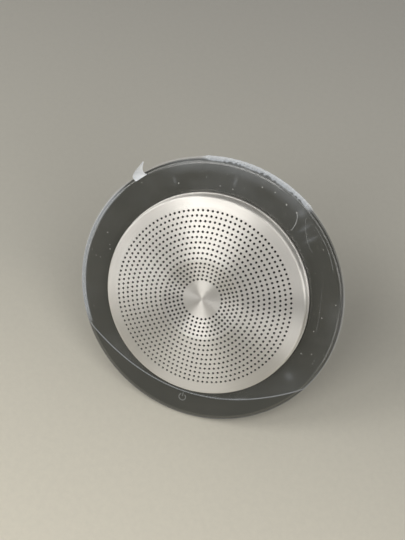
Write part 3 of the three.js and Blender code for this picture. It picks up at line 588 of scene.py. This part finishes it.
def build_edge_trim():
    profile = [(TRIM_INNER, TRIM_BOTTOM), (TRIM_OUTER - TRIM_CHAMFER_IN, TRIM_BOTTOM),
               (TRIM_OUTER, TRIM_BOTTOM + TRIM_CHAMFER_UP), (TRIM_OUTER, TRIM_SHOULDER)]
    profile += arc((TRIM_OUTER - TRIM_ROUND, TRIM_SHOULDER), TRIM_ROUND, 0, 180, 6)
    profile.append((TRIM_INNER, TRIM_SHOULDER))
    vertices, faces = turned_mesh(profile)
    look = moulded("edge_trim_grey", (0.15, 0.15, 0.142), 0.42, 2400.0, 0.01)
    piece("edge_trim", vertices, faces, look, "housing", (), SHARP_RING)


# ------------------------------------------------------------------ printed marks on the ring

MARK_LIFT = 0.02
MARK_THICKNESS = 0.03
POWER_MARK = {
    "angle": 269.7, "radius": 57.0, "ring": 1.75, "width": 0.55, "gap": 30,
    "stem_start": 0.35, "stem_end": 2.75,
}
CIRCLE_POINTS, STEM_POINTS = 40, 6


def ribbon(points, width, height, thickness=MARK_THICKNESS):
    """A flat strip of even width along a line of points, as a thin closed solid."""
    points = np.array(points, float)
    along = np.gradient(points, axis=0)
    side = np.column_stack([-along[:, 1], along[:, 0]])
    side *= width / 2 / np.maximum(np.linalg.norm(side, axis=1), 1e-9)[:, None]
    left, right = points + side, points - side
    count = len(points)
    vertices = [(*p, height + dz) for dz in (0, thickness) for row in (left, right) for p in row]
    faces = []
    for i in range(count - 1):
        a, b, c, d = i, i + count, i + 2 * count, i + 3 * count
        faces += [(a, a + 1, b + 1, b), (c, d, d + 1, c + 1), (a, c, c + 1, a + 1), (b, b + 1, d + 1, d)]
    for i in (0, count - 1):
        faces.append((i, i + count, i + 3 * count, i + 2 * count))
    return vertices, faces


def joined(parts):
    vertices, faces = [], []
    for part_vertices, part_faces in parts:
        shift = len(vertices)
        vertices += part_vertices
        faces += [tuple(i + shift for i in f) for f in part_faces]
    return vertices, faces


def mark_material():
    look = Look("printed_mark", (0.19, 0.195, 0.19), 0.4)
    worn = look.noise(900.0, 3.0)
    look.feed("Base Color", look.mix(look.spread(worn, 0, 1), look.color, (0.13, 0.135, 0.13)))
    return look.material


def around(angle, radius):
    """The point at an angle in radians on a circle about the origin."""
    return radius * np.array([math.cos(angle), math.sin(angle)])


def build_marks():
    """A generic power mark: an open circle and a stem that points at the disc's axis."""
    mark = POWER_MARK
    centre = around(math.radians(mark["angle"]), mark["radius"])
    stem_way = math.radians(mark["angle"] + 180)
    half_gap = math.radians(mark["gap"])
    turn = np.linspace(stem_way + half_gap, stem_way + TURN - half_gap, CIRCLE_POINTS)
    circle = [centre + around(a, mark["ring"]) for a in turn]
    along = np.linspace(mark["stem_start"], mark["stem_end"], STEM_POINTS)
    stem = [centre + around(stem_way, t) for t in along]
    height = RING_TOP + MARK_LIFT
    vertices, faces = joined([ribbon(line, mark["width"], height) for line in (circle, stem)])
    piece("power_mark", vertices, faces, mark_material(), "housing")


# ------------------------------------------------------------------ housings

RIM_OUTER, RIM_BOTTOM, RIM_ROUND = 65.9, 19.45, 1.2
RIM_SEAT, RIM_SEAT_CHAMFER = 21.8, 0.1
# The rim's underside, from the flange's inner edge out to the round lower edge.
RIM_UNDERSIDE = ((41.2, 15.4), (44.0, 15.4), (46.0, 15.7), (50.0, 16.45), (57.0, 17.75))
POCKET_INNER, POCKET_OUTER, POCKET_FLOOR = 51.5, 58.7, 19.2
TUBE_INNER, TUBE_OUTER, TUBE_TOP = 46.9, 48.5, 28.5
FLANGE_INNER, FLANGE_TOP = 41.2, 17.4


def build_upper_housing():
    profile = list(RIM_UNDERSIDE)
    profile += arc((RIM_OUTER - RIM_ROUND, RIM_BOTTOM + RIM_ROUND), RIM_ROUND, 280, 360, 8)
    profile += [
        (RIM_OUTER, RIM_SEAT - RIM_SEAT_CHAMFER), (RIM_OUTER - RIM_SEAT_CHAMFER, RIM_SEAT),
        (POCKET_OUTER, RIM_SEAT), (POCKET_OUTER, POCKET_FLOOR), (POCKET_INNER, POCKET_FLOOR),
        (POCKET_INNER, RIM_SEAT), (TUBE_OUTER, RIM_SEAT), (TUBE_OUTER, TUBE_TOP), (TUBE_INNER, TUBE_TOP),
        (TUBE_INNER, FLANGE_TOP), (FLANGE_INNER, FLANGE_TOP),
    ]
    vertices, faces = turned_mesh(profile)
    piece("rim_housing", vertices, faces, SLOT_LOOKS["matte_black_plastic"], "housing",
          ["upper_housing"], SHARP_RIM)


# ------------------------------------------------------------------ delivery film and tab

FILM_THICKNESS = 0.06
FILM_LIFT = 0.10
FILM_INNER, FILM_OUTER = 50.95, 66.35
FILM_SHIFT, FILM_SHIFT_ANGLE = 0.95, 72  # how far off centre the film sits, and towards which angle
FILM_LOWER_EDGE = 53.8
FILM_LOWER_BOW = 0.0064
FILM_TURN_STEPS, FILM_ROWS = 1200, 34
FILM_ROW_CROWDING = 1.5  # above 1, the rows crowd towards the outer edge
LOOSE_FROM = BEVEL_START - 0.6  # the film is loose beyond this radius, just inside the bevel
LOOSE_SAG, LOOSE_RIPPLE = 0.35, 0.25
RIPPLE_REACH, RIPPLE_SWING, FRAY_REACH = 0.45, 0.12, 0.45
# Stretches of the turn: from, to, and how softly they start and end, in degrees.
RIPPLED, FRAYED = (53, 106, 4), (282, 308, 4)
PAINTED_HIGHLIGHT_SPAN, WITHOUT_LIP, PAINTED_REFLECTION_SPAN = (138, 216, 14), (20, 50, 10), (48, 128, 16)
# How milky each kind of haze is, and over which distances it fades: in from the film's edge for
# the cut, the painted highlight band and the lip, out from the axis for the overhang and the painted
# reflection.
HAZE_CUT, CUT_FADE = 0.20, (0.25, 0.75)
# The band is a painted highlight: the film standing off the bevel on the left, catching the light.
PAINTED_HIGHLIGHT_HAZE, PAINTED_HIGHLIGHT_FADE = 0.20, (1.6, 2.6)
HAZE_LIP, LIP_FADE = 0.06, (0.1, 0.9)
HAZE_OVERHANG, OVERHANG_FADE, SCALLOP_DEPTH = 0.34, (65.0, 65.6), 0.9
# The bloom is a painted reflection: a lighter, bluish sheen over the ring's upper outer part.
PAINTED_REFLECTION_HAZE, PAINTED_REFLECTION_FADE = 0.055, (58.5, 64.0)
HAZE_SMUDGE = 0.05
HAZE_UNKNOWN = 0.03  # for a point whose place isn't found again in the finished mesh


def film_edge(angle):
    """Outer radius of the film: its own round outline, cut by its bowed lower edge."""
    c, s = np.cos(angle), np.sin(angle)
    outline = FILM_OUTER + FILM_SHIFT * np.cos(angle - math.radians(FILM_SHIFT_ANGLE))
    bow = 4 * FILM_LOWER_BOW * c ** 2 * FILM_LOWER_EDGE
    lower = 2 * FILM_LOWER_EDGE / np.maximum(np.sqrt(s ** 2 + bow) - s, 1e-6)
    return np.minimum(outline, lower), outline < lower


def between(angle, start, end, soft):
    """1 inside a range of degrees, easing to 0 outside it."""
    degrees = np.degrees(angle) % 360
    return smooth_step(degrees, start, start + soft) * (1 - smooth_step(degrees, end - soft, end))


def near_spot(radius, angle, spot):
    """A soft round-to-oval patch: (radius, degrees, along the radius, across it) in millimetres."""
    r0, degrees, along, across = spot
    turn = (np.degrees(angle) - degrees + 180) % 360 - 180
    return np.exp(-((radius - r0) / along) ** 2 - (np.radians(turn) * r0 / across) ** 2)


FILM_SMUDGES = (  # radius, degrees, length along the radius, width across it
    (57.5, 89, 2, 0.8), (57.5, 119, 1.6, 0.7), (56.5, 330, 2, 2), (62, 56, 2, 1.6), (59, 50, 3.2, 0.9),
    (56, 300, 0.8, 3), (58.5, 44, 3, 0.8),
)


def film_outline(angles):
    """Outer radius at each angle, whether it is the round outline, and how much it ripples."""
    edge, on_outline = film_edge(angles)
    degrees = np.degrees(angles)
    ripple = between(angles, *RIPPLED)
    wave = np.sin(degrees * 2.05) * 0.6 + np.sin(degrees * 0.93 + 1) * 0.4
    frayed = between(angles, *FRAYED) * np.sin(degrees * 9.1) * np.sin(degrees * 3.7)
    edge = edge + ripple * (RIPPLE_REACH + RIPPLE_SWING * wave) * on_outline
    edge = edge + FRAY_REACH * frayed * ~on_outline
    return edge, on_outline, ripple, wave


def scallops(angles):
    """0 to 1 along the turn, in uneven rounded bites."""
    degrees = np.degrees(angles)
    bites = np.abs(np.sin(degrees * 1.2 + 1.6 * np.sin(degrees * 0.27) + 0.9 * np.sin(degrees * 0.71)))
    return bites * (0.55 + 0.45 * np.sin(degrees * 0.43))


def film_haze(radius, angles, edge, on_outline, ripple):
    """How milky the film is: along its cut and lip, where it overhangs, in smudges; plus a painted
    highlight along its left edge and a painted reflection near the top.
    """
    from_edge = edge - radius
    cut = ~on_outline * (1 - smooth_step(from_edge, *CUT_FADE))
    painted_highlight = on_outline * (1 - smooth_step(from_edge, *PAINTED_HIGHLIGHT_FADE)) * between(angles, *PAINTED_HIGHLIGHT_SPAN)
    lip = on_outline * (1 - smooth_step(from_edge, *LIP_FADE)) * (1 - between(angles, *WITHOUT_LIP))
    overhang = ripple * smooth_step(radius - SCALLOP_DEPTH * scallops(angles), *OVERHANG_FADE)
    painted_reflection = between(angles, *PAINTED_REFLECTION_SPAN) * smooth_step(radius, *PAINTED_REFLECTION_FADE)
    smudge = sum(near_spot(radius, angles, spot) for spot in FILM_SMUDGES)
    edges = HAZE_CUT * cut + PAINTED_HIGHLIGHT_HAZE * painted_highlight + HAZE_LIP * lip + HAZE_OVERHANG * overhang
    return edges + PAINTED_REFLECTION_HAZE * painted_reflection + HAZE_SMUDGE * smudge


def film_faces():
    """Quads of the film's two sides and of the walls that close its inner and outer edge."""
    per_side = FILM_ROWS * FILM_TURN_STEPS
    turn = [(i, (i + 1) % FILM_TURN_STEPS) for i in range(FILM_TURN_STEPS)]
    faces = []
    for start in range(0, per_side - FILM_TURN_STEPS, FILM_TURN_STEPS):
        for i, j in turn:
            a, b = start + i, start + j
            c, d = b + FILM_TURN_STEPS, a + FILM_TURN_STEPS
            faces.append((a, b, c, d))
            faces.append((b + per_side, a + per_side, d + per_side, c + per_side))
    for start in (0, per_side - FILM_TURN_STEPS):
        faces += [(start + i, start + j, start + j + per_side, start + i + per_side) for i, j in turn]
    return faces


def build_film():
    angles = TURN * np.arange(FILM_TURN_STEPS) / FILM_TURN_STEPS
    edge, on_outline, ripple, wave = film_outline(angles)
    shares = 1 - (1 - np.linspace(0, 1, FILM_ROWS)) ** FILM_ROW_CROWDING
    vertices, haze = [], []
    for side in (1, 0):
        for share in shares:
            radius = FILM_INNER + (edge - FILM_INNER) * share
            loose = smooth_step(radius, LOOSE_FROM, RING_OUTER)
            height = RING_TOP + FILM_LIFT + side * FILM_THICKNESS
            height = height - LOOSE_SAG * loose * (1 - ripple) + LOOSE_RIPPLE * ripple * loose * wave
            row = np.column_stack([radius * np.cos(angles), radius * np.sin(angles), height])
            vertices += row.tolist()
            haze += film_haze(radius, angles, edge, on_outline, ripple).tolist()
    film = piece("delivery_film", vertices, film_faces(), SLOT_LOOKS["clear_film"], "housing",
                 ["protective_film"], SHARP_SHEET)
    store_haze(film, vertices, haze)


def polar_line(points):
    """A smooth line in the disc plane through (radius, degrees) points."""
    shares = np.linspace(0, 1, len(points))
    fine = np.linspace(0, 1, CREASE_POINTS)
    degree = min(len(points) - 1, 3)
    radius = np.polyval(np.polyfit(shares, [p[0] for p in points], degree), fine)
    angle = np.radians(np.polyval(np.polyfit(shares, [p[1] for p in points], degree), fine))
    return np.column_stack([radius * np.cos(angle), radius * np.sin(angle)])


CREASES = (  # width, then (radius, degrees) along the crease
    (0.5, (60.5, 58), (59.5, 56), (56.5, 54), (53, 53)),
    (0.25, (63.5, 48), (63.5, 42), (63.5, 36), (63, 28)),
    (0.15, (62.5, 53), (60, 51), (57, 45), (56.5, 38)),
    (0.12, (56.5, 20), (55.5, 10), (56, -4)),
)
CREASE_POINTS = 24
CREASE_LIFT, CREASE_THICKNESS = 0.01, 0.05
DUST_SEED = 7
DUST_RADII, DUST_DEGREES = (53, 65), (-30, 205)
FLECKS = ((15, 0.22, 0.32), (34, 0.07, 0.16))  # how many, from which size, up to which
FLECK_SIDES = 8
FLECK_STRETCH, FLECK_REACH = (1.0, 1.8), (0.6, 1.0)
FLECK_LIFT, FLECK_HEIGHT = 0.02, 0.09


def crease_material():
    look = Look("film_crease", (0.82, 0.84, 0.85), 0.22)
    look.material.surface_render_method = "BLENDED"
    look.feed("Alpha", look.spread(look.noise(260.0, 3.0), 0.04, 0.22))
    look.bump(look.noise(500.0, 2.0), 0.02 * MM)
    return look.material


def build_creases():
    height = RING_TOP + FILM_LIFT + FILM_THICKNESS + CREASE_LIFT
    lines = [ribbon(polar_line(line), width, height, CREASE_THICKNESS) for width, *line in CREASES]
    vertices, faces = joined(lines)
    piece("film_creases", vertices, faces, crease_material(), "housing")


def fleck(draw, radius, degrees, size):
    """A flat chip with an outline of its own, narrower at the top."""
    centre = around(math.radians(degrees), radius)
    stretch, lean = draw.uniform(*FLECK_STRETCH), draw.uniform(0, TURN)
    outline = []
    for i in range(FLECK_SIDES):
        reach = size * draw.uniform(*FLECK_REACH)
        u, v = around(TURN * i / FLECK_SIDES, reach)
        outline.append(centre + around(lean, u * stretch) + around(lean + TURN / 4, v))
    bottom = RING_TOP + FILM_LIFT + FILM_THICKNESS + FLECK_LIFT
    vertices = [(*p, bottom) for p in outline]
    vertices += [(*((p + centre) / 2), bottom + FLECK_HEIGHT) for p in outline]
    faces = [tuple(range(FLECK_SIDES, 2 * FLECK_SIDES)), tuple(reversed(range(FLECK_SIDES)))]
    for i in range(FLECK_SIDES):
        j = (i + 1) % FLECK_SIDES
        faces.append((i, j, FLECK_SIDES + j, FLECK_SIDES + i))
    return vertices, faces


def build_dust():
    """Flecks of dust on the film, some large and most small."""
    draw = random.Random(DUST_SEED)
    drawn = []
    for count, smallest, largest in FLECKS:
        for _ in range(count):
            radius, degrees = draw.uniform(*DUST_RADII), draw.uniform(*DUST_DEGREES)
            drawn.append((radius, degrees, draw.uniform(smallest, largest)))
    vertices, faces = joined([fleck(draw, *chip) for chip in drawn])
    look = moulded("dust_flecks", (0.50, 0.50, 0.48), 0.8, 4000.0, 0.02)
    piece("film_dust", vertices, faces, look, "housing", (), SHARP_SHEET)


def store_haze(made, vertices, haze):
    """Keeps each point's haze, whatever order the mesh's points ended in."""
    wanted = {tuple(round(c, 4) for c in v): h for v, h in zip(vertices, haze)}
    attribute = made.data.attributes.new("haze", "FLOAT", "POINT")
    places = (tuple(round(c / MM, 4) for c in v.co) for v in made.data.vertices)
    values = [wanted.get(place, HAZE_UNKNOWN) for place in places]
    attribute.data.foreach_set("value", values)


TAB_ANGLE = 133.2
TAB_THICKNESS = 0.14
TAB_STEPS, TAB_STEPS_ACROSS = 26, 8
TAB_CUP, TAB_CRINKLE = 0.09, 0.06
# Along the tab from root to tip: share, then (reach, side, height) of its left and right edge.
TAB_LINES = (
    (0.00, (64.3, 3.4, 24.75), (64.6, -3.4, 24.75)),
    (0.20, (66.4, 3.5, 25.5), (65.7, -2.8, 25.1)),
    (0.42, (67.7, 2.4, 26.6), (66.8, -2.7, 25.8)),
    (0.70, (69.2, -1.4, 28.0), (68.4, -4.0, 27.0)),
    (1.00, (70.7, -6.1, 28.9), (70.5, -6.6, 28.6)),
)


def tab_side(side):
    """Points along one side of the tab, smoothed through the rows of TAB_LINES."""
    shares = [line[0] for line in TAB_LINES]
    fits = [np.polyfit(shares, [line[side][axis] for line in TAB_LINES], 3) for axis in range(3)]
    return np.column_stack([np.polyval(fit, np.linspace(0, 1, TAB_STEPS)) for fit in fits])


def build_tab():
    """A strip from the film's edge that curls up past the rim to a narrow torn end."""
    top = []
    for share, left, right in zip(np.linspace(0, 1, TAB_STEPS), tab_side(1), tab_side(2)):
        for v in np.linspace(0, 1, TAB_STEPS_ACROSS + 1):
            cup = 4 * v * (1 - v) * TAB_CUP * np.linalg.norm(left - right) * (0.3 + share)
            crinkle = TAB_CRINKLE * math.sin(9 * v + 14 * share)
            top.append(left * (1 - v) + right * v - np.array([0, 0, cup + crinkle]))
    under = [point - np.array([0, 0, TAB_THICKNESS]) for point in top]
    width, count = TAB_STEPS_ACROSS + 1, len(top)
    faces = []
    for i in range(TAB_STEPS - 1):
        for j in range(TAB_STEPS_ACROSS):
            a = i * width + j
            faces.append((a, a + 1, a + width + 1, a + width))
            a += count
            faces.append((a + 1, a, a + width, a + width + 1))
    rim = list(range(width)) + [i * width + TAB_STEPS_ACROSS for i in range(1, TAB_STEPS)]
    rim += [(TAB_STEPS - 1) * width + j for j in range(TAB_STEPS_ACROSS - 1, -1, -1)]
    rim += [i * width for i in range(TAB_STEPS - 2, 0, -1)]
    for a, b in zip(rim, rim[1:] + rim[:1]):
        faces.append((b, a, a + count, b + count))
    turn = Matrix.Rotation(math.radians(TAB_ANGLE), 3, "Z")
    vertices = [tuple(turn @ Vector(p)) for p in top + under]
    piece("pull_tab", vertices, faces, SLOT_LOOKS["white_tab"], "housing", ["film_pull_tab"],
          SHARP_SHEET)


# ------------------------------------------------------------------ carried-over CAD nodes

WELD_DISTANCE = 0.00002  # metres
SMOOTH_BELOW, EASE_ABOVE = math.radians(25), math.radians(50)
EASED_EDGES = {  # millimetres of rounding on the edges of carried-over nodes that can be seen
    "stand_bail": 0.45, "stand_foot": 0.3, "base_cover": 0.35, "base_pad": 0.25, "lower_housing": 0.25,
    "cable_gland": 0.2, "stand_pin_left": 0.15, "stand_pin_right": 0.15,
}


def smooth_group():
    """A modifier that shades smooth across shallow edges only."""
    group = bpy.data.node_groups.new("smooth_by_angle", "GeometryNodeTree")
    group.interface.new_socket("Geometry", in_out="INPUT", socket_type="NodeSocketGeometry")
    group.interface.new_socket("Geometry", in_out="OUTPUT", socket_type="NodeSocketGeometry")
    start, end = group.nodes.new("NodeGroupInput"), group.nodes.new("NodeGroupOutput")
    faces = group.nodes.new("GeometryNodeSetShadeSmooth")
    edges = group.nodes.new("GeometryNodeSetShadeSmooth")
    edges.domain = "EDGE"
    angle = group.nodes.new("GeometryNodeInputMeshEdgeAngle")
    shallow = group.nodes.new("FunctionNodeCompare")
    shallow.operation = "LESS_THAN"
    shallow.inputs[1].default_value = SMOOTH_BELOW
    group.links.new(start.outputs[0], faces.inputs["Geometry"])
    group.links.new(faces.outputs[0], edges.inputs["Geometry"])
    group.links.new(angle.outputs["Unsigned Angle"], shallow.inputs[0])
    group.links.new(shallow.outputs[0], edges.inputs["Shade Smooth"])
    group.links.new(edges.outputs[0], end.inputs[0])
    return group


def dress_cad_nodes():
    slots = {s["node"]: s["material_slot"] for s in frame["record"]["subparts"]}
    group = smooth_group()
    for name, node in frame["nodes"].items():
        node.data.materials.clear()
        node.data.materials.append(SLOT_LOOKS[slots[name]])
        weld = node.modifiers.new("weld", "WELD")
        weld.merge_threshold = WELD_DISTANCE
        if name in EASED_EDGES:
            ease = node.modifiers.new("eased_edges", "BEVEL")
            ease.width = EASED_EDGES[name] * MM
            ease.segments = 3
            ease.limit_method = "ANGLE"
            ease.angle_limit = EASE_ABOVE
            ease.use_clamp_overlap = True
        shading = node.modifiers.new("shading", "NODES")
        shading.node_group = group


# ------------------------------------------------------------------ floor, light

# The floor's colours hold painted light: lighter near the camera, where the light pools, and darker
# further back, where it falls off.
FLOOR_NEAR_PAINTED_LIGHT, FLOOR_MIDDLE, FLOOR_FAR_PAINTED_SHADE = (0.86, 0.81, 0.68), (0.55, 0.535, 0.475), (0.51, 0.50, 0.465)
FLOOR_FLECK = (0.36, 0.35, 0.32)
FLOOR_HALF = 3.0  # metres
PAINTED_LIGHT_FADE, PAINTED_SHADE_FADE = (-0.26, 0.02), (0.0, 0.30)  # metres along +Y, away from the camera


def build_floor():
    """A plain pale sheet, a little lighter towards the camera and darker away from it: painted light
    falloff.
    """
    look = Look("pale_floor", FLOOR_MIDDLE, 0.62)
    depth = look.node("SeparateXYZ", {0: look.place}).outputs[1]
    painted_light_near = look.mix(look.spread(depth, 0, 1, *PAINTED_LIGHT_FADE), FLOOR_NEAR_PAINTED_LIGHT, FLOOR_MIDDLE)
    painted_falloff = look.mix(look.spread(depth, 0, 1, *PAINTED_SHADE_FADE), painted_light_near, FLOOR_FAR_PAINTED_SHADE)
    mottle = look.spread(look.noise(300.0, 3.0, 0.7), 0.0, 0.10)
    look.feed("Base Color", look.mix(mottle, painted_falloff, FLOOR_FLECK))
    look.bump(look.noise(700.0, 3.0), 0.05 * MM)
    mesh = bpy.data.meshes.new("floor")
    corners = [(x * FLOOR_HALF, y * FLOOR_HALF, 0) for x, y in ((-1, -1), (1, -1), (1, 1), (-1, 1))]
    mesh.from_pydata(corners, [], [(0, 1, 2, 3)])
    mesh.materials.append(look.material)
    floor = bpy.data.objects.new("floor", mesh)
    bpy.context.scene.collection.objects.link(floor)


WORLD_COLOR, WORLD_STRENGTH = (1.0, 0.98, 0.95, 1), 0.14
LIGHT_COLOR = (1.0, 0.98, 0.94)
LIGHT_TARGET = Vector((0, 0, 0.05))
LIGHT_DISTANCE = 0.85
# Name, degrees above the floor, degrees clockwise from +Y seen from above, size, watts.
LIGHTS = (
    ("front_high", 50, 200, (0.4, 0.4), 1.8),
    ("right_tall", 48, 120, (0.4, 0.9), 2.4),
    ("left_tall", 35, 252, (0.4, 0.9), 3.0),
    ("right_low", 10, 90, (0.4, 0.4), 0.6),
    ("right_front_low", 10, 150, (0.3, 0.3), 0.5),
    ("left_front_low", 10, 220, (0.3, 0.3), 0.6),
    ("back", 40, 15, (0.6, 0.5), 0.3),
)


def build_light():
    world = bpy.data.worlds.new("studio")
    world.use_nodes = True
    background = world.node_tree.nodes["Background"]
    background.inputs[0].default_value = WORLD_COLOR
    background.inputs[1].default_value = WORLD_STRENGTH
    bpy.context.scene.world = world
    for name, rise, heading, size, power in LIGHTS:
        rise, heading = math.radians(rise), math.radians(heading)
        level = math.cos(rise)
        way = Vector((level * math.sin(heading), level * math.cos(heading), math.sin(rise)))
        data = bpy.data.lights.new(name, "AREA")
        data.shape = "RECTANGLE"
        data.size, data.size_y = size
        data.energy = power
        data.color = LIGHT_COLOR
        light = bpy.data.objects.new(name, data)
        light.location = LIGHT_TARGET + LIGHT_DISTANCE * way
        light.rotation_euler = (-way).to_track_quat("-Z", "Y").to_euler()
        light.visible_camera = False
        bpy.context.scene.collection.objects.link(light)


# ------------------------------------------------------------------ making it all

dress_cad_nodes()
build_cap()
build_ring()
build_edge_trim()
build_marks()
build_upper_housing()
build_film()
build_creases()
build_dust()
build_tab()
build_floor()
build_light()
